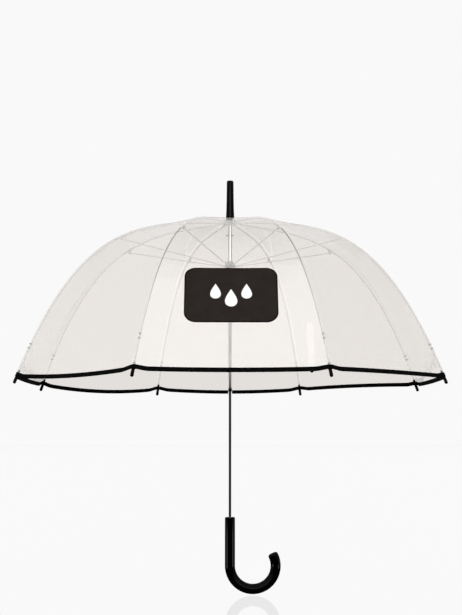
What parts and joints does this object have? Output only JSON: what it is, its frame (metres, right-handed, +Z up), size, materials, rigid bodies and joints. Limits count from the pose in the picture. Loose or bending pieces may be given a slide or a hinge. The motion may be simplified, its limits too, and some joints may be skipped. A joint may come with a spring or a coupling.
{
  "type": "clear dome umbrella",
  "caption": "Open clear dome umbrella with a hook handle, steel shaft, sliding runner, flexible ribs with stretchers, and a clear film canopy edged in black.",
  "frame": {"origin": "middle of the straight grip, on the shaft's axis", "axes": "+Z up the shaft towards the ferrule, +X towards the hook's open end, -Y towards the printed front gore"},
  "size_m": [0.811, 0.811, 0.826],
  "materials": {
    "shaft_chrome": "polished chrome plate",
    "black_gloss": "polished moulded black",
    "black_trim": "semi-gloss black binding, tips and print",
    "milky_plastic": "translucent white moulding",
    "runner_plastic": "satin grey moulding",
    "rib_metal": "grey drawn rod",
    "steel_wire": "drawn wire",
    "clear_film": "clear soft film with a faint warm grey"
  },
  "bodies": {
    "shaft": {"shaft_tube": "shaft_chrome", "hook_handle": "black_gloss", "ferrule": "black_gloss", "crown_cap": "milky_plastic", "notch": "milky_plastic", "notch_wire": "steel_wire", "stop_pin": "steel_wire"},
    "runner": {"runner": "runner_plastic", "runner_wire": "steel_wire"},
    "upper_catch": {"upper_catch": "steel_wire"},
    "lower_catch": {"lower_catch": "steel_wire"},
    "rib_upper_1": {"rib_upper_1": "rib_metal"},
    "rib_lower_1": {"rib_lower_1": "rib_metal", "rib_tip_1": "black_trim"},
    "stretcher_1": {"stretcher_1": "rib_metal"},
    "gore_upper_1": {"gore_upper_1": "clear_film"},
    "gore_lower_1": {"gore_lower_1": "clear_film"},
    "rib_upper_2": {"rib_upper_2": "rib_metal"},
    "rib_lower_2": {"rib_lower_2": "rib_metal", "rib_tip_2": "black_trim"},
    "stretcher_2": {"stretcher_2": "rib_metal"},
    "gore_upper_2": {"gore_upper_2": "clear_film"},
    "gore_lower_2": {"gore_lower_2": "clear_film"},
    "rib_upper_3": {"rib_upper_3": "rib_metal"},
    "rib_lower_3": {"rib_lower_3": "rib_metal", "rib_tip_3": "black_trim"},
    "stretcher_3": {"stretcher_3": "rib_metal"},
    "gore_upper_3": {"gore_upper_3": "clear_film"},
    "gore_lower_3": {"gore_lower_3": "clear_film"},
    "rib_upper_4": {"rib_upper_4": "rib_metal"},
    "rib_lower_4": {"rib_lower_4": "rib_metal", "rib_tip_4": "black_trim"},
    "stretcher_4": {"stretcher_4": "rib_metal"},
    "gore_upper_4": {"gore_upper_4": "clear_film"},
    "gore_lower_4": {"gore_lower_4": "clear_film"},
    "rib_upper_5": {"rib_upper_5": "rib_metal"},
    "rib_lower_5": {"rib_lower_5": "rib_metal", "rib_tip_5": "black_trim"},
    "stretcher_5": {"stretcher_5": "rib_metal"},
    "gore_upper_5": {"gore_upper_5": "clear_film"},
    "gore_lower_5": {"gore_lower_5": "clear_film"},
    "rib_upper_6": {"rib_upper_6": "rib_metal"},
    "rib_lower_6": {"rib_lower_6": "rib_metal", "rib_tip_6": "black_trim"},
    "stretcher_6": {"stretcher_6": "rib_metal"},
    "gore_upper_6": {"gore_upper_6": "clear_film"},
    "gore_lower_6": {"gore_lower_6": "clear_film", "closure_strap": "clear_film"},
    "rib_upper_7": {"rib_upper_7": "rib_metal"},
    "rib_lower_7": {"rib_lower_7": "rib_metal", "rib_tip_7": "black_trim"},
    "stretcher_7": {"stretcher_7": "rib_metal"},
    "gore_upper_7": {"gore_upper_7": "clear_film"},
    "gore_lower_7": {"gore_lower_7": "clear_film"},
    "rib_upper_8": {"rib_upper_8": "rib_metal"},
    "rib_lower_8": {"rib_lower_8": "rib_metal", "rib_tip_8": "black_trim"},
    "stretcher_8": {"stretcher_8": "rib_metal"},
    "gore_upper_8": {"gore_upper_8": "clear_film"},
    "gore_lower_8": {"gore_lower_8": "clear_film"}
  },
  "joints": [
    {"name": "runner_slide", "type": "slide", "parent": "shaft", "child": "runner", "axis": [0, 0, -1], "range_m": [0, 0.354]},
    {"name": "upper_catch_press", "type": "hinge", "parent": "shaft", "child": "upper_catch", "pos_m": [0, 0.0024, 0.4665], "axis": [1, 0, 0], "range_deg": [0, 3], "stiffness_Nm_per_rad": 0.6},
    {"name": "lower_catch_press", "type": "hinge", "parent": "shaft", "child": "lower_catch", "pos_m": [0, 0.0024, 0.13], "axis": [1, 0, 0], "range_deg": [0, 3], "stiffness_Nm_per_rad": 0.6},
    {"name": "rib_1_pivot", "type": "hinge", "parent": "shaft", "child": "rib_upper_1", "pos_m": [0.00924, 0.00383, 0.64], "axis": [-0.3827, 0.9239, 0], "range_deg": [0, 72.11]},
    {"name": "rib_1_flex", "type": "hinge", "parent": "rib_upper_1", "child": "rib_lower_1", "pos_m": [0.21434, 0.08878, 0.5955], "axis": [-0.3827, 0.9239, 0], "range_deg": [-37.9, 0]},
    {"name": "stretcher_1_pivot", "type": "hinge", "parent": "rib_upper_1", "child": "stretcher_1", "pos_m": [0.21064, 0.08725, 0.59207], "axis": [-0.3827, 0.9239, 0], "range_deg": [-145.91, 0]},
    {"name": "gore_1_fold", "type": "hinge", "parent": "shaft", "child": "gore_upper_1", "pos_m": [0.00898, 0.00898, 0.64215], "axis": [-0.7071, 0.7071, 0], "range_deg": [0, 71.31], "deforming": ["gore_upper_1"]},
    {"name": "gore_1_crease", "type": "hinge", "parent": "gore_upper_1", "child": "gore_lower_1", "pos_m": [0.15783, 0.15783, 0.59384], "axis": [-0.7071, 0.7071, 0], "range_deg": [-39.83, 0], "deforming": ["gore_lower_1"]},
    {"name": "rib_2_pivot", "type": "hinge", "parent": "shaft", "child": "rib_upper_2", "pos_m": [0.00383, 0.00924, 0.64], "axis": [-0.9239, 0.3827, 0], "range_deg": [0, 72.11]},
    {"name": "rib_2_flex", "type": "hinge", "parent": "rib_upper_2", "child": "rib_lower_2", "pos_m": [0.08878, 0.21434, 0.5955], "axis": [-0.9239, 0.3827, 0], "range_deg": [-37.9, 0]},
    {"name": "stretcher_2_pivot", "type": "hinge", "parent": "rib_upper_2", "child": "stretcher_2", "pos_m": [0.08725, 0.21064, 0.59207], "axis": [-0.9239, 0.3827, 0], "range_deg": [-145.91, 0]},
    {"name": "gore_2_fold", "type": "hinge", "parent": "shaft", "child": "gore_upper_2", "pos_m": [0, 0.0127, 0.64215], "axis": [-1, 0, 0], "range_deg": [0, 71.31], "deforming": ["gore_upper_2"]},
    {"name": "gore_2_crease", "type": "hinge", "parent": "gore_upper_2", "child": "gore_lower_2", "pos_m": [0, 0.22321, 0.59384], "axis": [-1, 0, 0], "range_deg": [-39.83, 0], "deforming": ["gore_lower_2"]},
    {"name": "rib_3_pivot", "type": "hinge", "parent": "shaft", "child": "rib_upper_3", "pos_m": [-0.00383, 0.00924, 0.64], "axis": [-0.9239, -0.3827, 0], "range_deg": [0, 72.11]},
    {"name": "rib_3_flex", "type": "hinge", "parent": "rib_upper_3", "child": "rib_lower_3", "pos_m": [-0.08878, 0.21434, 0.5955], "axis": [-0.9239, -0.3827, 0], "range_deg": [-37.9, 0]},
    {"name": "stretcher_3_pivot", "type": "hinge", "parent": "rib_upper_3", "child": "stretcher_3", "pos_m": [-0.08725, 0.21064, 0.59207], "axis": [-0.9239, -0.3827, 0], "range_deg": [-145.91, 0]},
    {"name": "gore_3_fold", "type": "hinge", "parent": "shaft", "child": "gore_upper_3", "pos_m": [-0.00898, 0.00898, 0.64215], "axis": [-0.7071, -0.7071, 0], "range_deg": [0, 71.31], "deforming": ["gore_upper_3"]},
    {"name": "gore_3_crease", "type": "hinge", "parent": "gore_upper_3", "child": "gore_lower_3", "pos_m": [-0.15783, 0.15783, 0.59384], "axis": [-0.7071, -0.7071, 0], "range_deg": [-39.83, 0], "deforming": ["gore_lower_3"]},
    {"name": "rib_4_pivot", "type": "hinge", "parent": "shaft", "child": "rib_upper_4", "pos_m": [-0.00924, 0.00383, 0.64], "axis": [-0.3827, -0.9239, 0], "range_deg": [0, 72.11]},
    {"name": "rib_4_flex", "type": "hinge", "parent": "rib_upper_4", "child": "rib_lower_4", "pos_m": [-0.21434, 0.08878, 0.5955], "axis": [-0.3827, -0.9239, 0], "range_deg": [-37.9, 0]},
    {"name": "stretcher_4_pivot", "type": "hinge", "parent": "rib_upper_4", "child": "stretcher_4", "pos_m": [-0.21064, 0.08725, 0.59207], "axis": [-0.3827, -0.9239, 0], "range_deg": [-145.91, 0]},
    {"name": "gore_4_fold", "type": "hinge", "parent": "shaft", "child": "gore_upper_4", "pos_m": [-0.0127, 0, 0.64215], "axis": [0, -1, 0], "range_deg": [0, 71.31], "deforming": ["gore_upper_4"]},
    {"name": "gore_4_crease", "type": "hinge", "parent": "gore_upper_4", "child": "gore_lower_4", "pos_m": [-0.22321, 0, 0.59384], "axis": [0, -1, 0], "range_deg": [-39.83, 0], "deforming": ["gore_lower_4"]},
    {"name": "rib_5_pivot", "type": "hinge", "parent": "shaft", "child": "rib_upper_5", "pos_m": [-0.00924, -0.00383, 0.64], "axis": [0.3827, -0.9239, 0], "range_deg": [0, 72.11]},
    {"name": "rib_5_flex", "type": "hinge", "parent": "rib_upper_5", "child": "rib_lower_5", "pos_m": [-0.21434, -0.08878, 0.5955], "axis": [0.3827, -0.9239, 0], "range_deg": [-37.9, 0]},
    {"name": "stretcher_5_pivot", "type": "hinge", "parent": "rib_upper_5", "child": "stretcher_5", "pos_m": [-0.21064, -0.08725, 0.59207], "axis": [0.3827, -0.9239, 0], "range_deg": [-145.91, 0]},
    {"name": "gore_5_fold", "type": "hinge", "parent": "shaft", "child": "gore_upper_5", "pos_m": [-0.00898, -0.00898, 0.64215], "axis": [0.7071, -0.7071, 0], "range_deg": [0, 71.31], "deforming": ["gore_upper_5"]},
    {"name": "gore_5_crease", "type": "hinge", "parent": "gore_upper_5", "child": "gore_lower_5", "pos_m": [-0.15783, -0.15783, 0.59384], "axis": [0.7071, -0.7071, 0], "range_deg": [-39.83, 0], "deforming": ["gore_lower_5"]},
    {"name": "rib_6_pivot", "type": "hinge", "parent": "shaft", "child": "rib_upper_6", "pos_m": [-0.00383, -0.00924, 0.64], "axis": [0.9239, -0.3827, 0], "range_deg": [0, 72.11]},
    {"name": "rib_6_flex", "type": "hinge", "parent": "rib_upper_6", "child": "rib_lower_6", "pos_m": [-0.08878, -0.21434, 0.5955], "axis": [0.9239, -0.3827, 0], "range_deg": [-37.9, 0]},
    {"name": "stretcher_6_pivot", "type": "hinge", "parent": "rib_upper_6", "child": "stretcher_6", "pos_m": [-0.08725, -0.21064, 0.59207], "axis": [0.9239, -0.3827, 0], "range_deg": [-145.91, 0]},
    {"name": "gore_6_fold", "type": "hinge", "parent": "shaft", "child": "gore_upper_6", "pos_m": [0, -0.0127, 0.64215], "axis": [1, 0, 0], "range_deg": [0, 71.31], "deforming": ["gore_upper_6"]},
    {"name": "gore_6_crease", "type": "hinge", "parent": "gore_upper_6", "child": "gore_lower_6", "pos_m": [0, -0.22321, 0.59384], "axis": [1, 0, 0], "range_deg": [-39.83, 0], "deforming": ["gore_lower_6", "closure_strap"]},
    {"name": "rib_7_pivot", "type": "hinge", "parent": "shaft", "child": "rib_upper_7", "pos_m": [0.00383, -0.00924, 0.64], "axis": [0.9239, 0.3827, 0], "range_deg": [0, 72.11]},
    {"name": "rib_7_flex", "type": "hinge", "parent": "rib_upper_7", "child": "rib_lower_7", "pos_m": [0.08878, -0.21434, 0.5955], "axis": [0.9239, 0.3827, 0], "range_deg": [-37.9, 0]},
    {"name": "stretcher_7_pivot", "type": "hinge", "parent": "rib_upper_7", "child": "stretcher_7", "pos_m": [0.08725, -0.21064, 0.59207], "axis": [0.9239, 0.3827, 0], "range_deg": [-145.91, 0]},
    {"name": "gore_7_fold", "type": "hinge", "parent": "shaft", "child": "gore_upper_7", "pos_m": [0.00898, -0.00898, 0.64215], "axis": [0.7071, 0.7071, 0], "range_deg": [0, 71.31], "deforming": ["gore_upper_7"]},
    {"name": "gore_7_crease", "type": "hinge", "parent": "gore_upper_7", "child": "gore_lower_7", "pos_m": [0.15783, -0.15783, 0.59384], "axis": [0.7071, 0.7071, 0], "range_deg": [-39.83, 0], "deforming": ["gore_lower_7"]},
    {"name": "rib_8_pivot", "type": "hinge", "parent": "shaft", "child": "rib_upper_8", "pos_m": [0.00924, -0.00383, 0.64], "axis": [0.3827, 0.9239, 0], "range_deg": [0, 72.11]},
    {"name": "rib_8_flex", "type": "hinge", "parent": "rib_upper_8", "child": "rib_lower_8", "pos_m": [0.21434, -0.08878, 0.5955], "axis": [0.3827, 0.9239, 0], "range_deg": [-37.9, 0]},
    {"name": "stretcher_8_pivot", "type": "hinge", "parent": "rib_upper_8", "child": "stretcher_8", "pos_m": [0.21064, -0.08725, 0.59207], "axis": [0.3827, 0.9239, 0], "range_deg": [-145.91, 0]},
    {"name": "gore_8_fold", "type": "hinge", "parent": "shaft", "child": "gore_upper_8", "pos_m": [0.0127, 0, 0.64215], "axis": [0, 1, 0], "range_deg": [0, 71.31], "deforming": ["gore_upper_8"]},
    {"name": "gore_8_crease", "type": "hinge", "parent": "gore_upper_8", "child": "gore_lower_8", "pos_m": [0.22321, 0, 0.59384], "axis": [0, 1, 0], "range_deg": [-39.83, 0], "deforming": ["gore_lower_8"]}
  ],
  "couplings": [
    {"joint": "rib_1_pivot", "follows": "runner_slide", "rad_per_m": 3.5548},
    {"joint": "rib_1_flex", "follows": "runner_slide", "rad_per_m": -1.8682},
    {"joint": "stretcher_1_pivot", "follows": "runner_slide", "rad_per_m": -7.1932},
    {"joint": "gore_1_fold", "follows": "runner_slide", "rad_per_m": 3.5155},
    {"joint": "gore_1_crease", "follows": "runner_slide", "rad_per_m": -1.9635},
    {"joint": "rib_2_pivot", "follows": "runner_slide", "rad_per_m": 3.5548},
    {"joint": "rib_2_flex", "follows": "runner_slide", "rad_per_m": -1.8682},
    {"joint": "stretcher_2_pivot", "follows": "runner_slide", "rad_per_m": -7.1932},
    {"joint": "gore_2_fold", "follows": "runner_slide", "rad_per_m": 3.5155},
    {"joint": "gore_2_crease", "follows": "runner_slide", "rad_per_m": -1.9635},
    {"joint": "rib_3_pivot", "follows": "runner_slide", "rad_per_m": 3.5548},
    {"joint": "rib_3_flex", "follows": "runner_slide", "rad_per_m": -1.8682},
    {"joint": "stretcher_3_pivot", "follows": "runner_slide", "rad_per_m": -7.1932},
    {"joint": "gore_3_fold", "follows": "runner_slide", "rad_per_m": 3.5155},
    {"joint": "gore_3_crease", "follows": "runner_slide", "rad_per_m": -1.9635},
    {"joint": "rib_4_pivot", "follows": "runner_slide", "rad_per_m": 3.5548},
    {"joint": "rib_4_flex", "follows": "runner_slide", "rad_per_m": -1.8682},
    {"joint": "stretcher_4_pivot", "follows": "runner_slide", "rad_per_m": -7.1932},
    {"joint": "gore_4_fold", "follows": "runner_slide", "rad_per_m": 3.5155},
    {"joint": "gore_4_crease", "follows": "runner_slide", "rad_per_m": -1.9635},
    {"joint": "rib_5_pivot", "follows": "runner_slide", "rad_per_m": 3.5548},
    {"joint": "rib_5_flex", "follows": "runner_slide", "rad_per_m": -1.8682},
    {"joint": "stretcher_5_pivot", "follows": "runner_slide", "rad_per_m": -7.1932},
    {"joint": "gore_5_fold", "follows": "runner_slide", "rad_per_m": 3.5155},
    {"joint": "gore_5_crease", "follows": "runner_slide", "rad_per_m": -1.9635},
    {"joint": "rib_6_pivot", "follows": "runner_slide", "rad_per_m": 3.5548},
    {"joint": "rib_6_flex", "follows": "runner_slide", "rad_per_m": -1.8682},
    {"joint": "stretcher_6_pivot", "follows": "runner_slide", "rad_per_m": -7.1932},
    {"joint": "gore_6_fold", "follows": "runner_slide", "rad_per_m": 3.5155},
    {"joint": "gore_6_crease", "follows": "runner_slide", "rad_per_m": -1.9635},
    {"joint": "rib_7_pivot", "follows": "runner_slide", "rad_per_m": 3.5548},
    {"joint": "rib_7_flex", "follows": "runner_slide", "rad_per_m": -1.8682},
    {"joint": "stretcher_7_pivot", "follows": "runner_slide", "rad_per_m": -7.1932},
    {"joint": "gore_7_fold", "follows": "runner_slide", "rad_per_m": 3.5155},
    {"joint": "gore_7_crease", "follows": "runner_slide", "rad_per_m": -1.9635},
    {"joint": "rib_8_pivot", "follows": "runner_slide", "rad_per_m": 3.5548},
    {"joint": "rib_8_flex", "follows": "runner_slide", "rad_per_m": -1.8682},
    {"joint": "stretcher_8_pivot", "follows": "runner_slide", "rad_per_m": -7.1932},
    {"joint": "gore_8_fold", "follows": "runner_slide", "rad_per_m": 3.5155},
    {"joint": "gore_8_crease", "follows": "runner_slide", "rad_per_m": -1.9635}
  ]
}
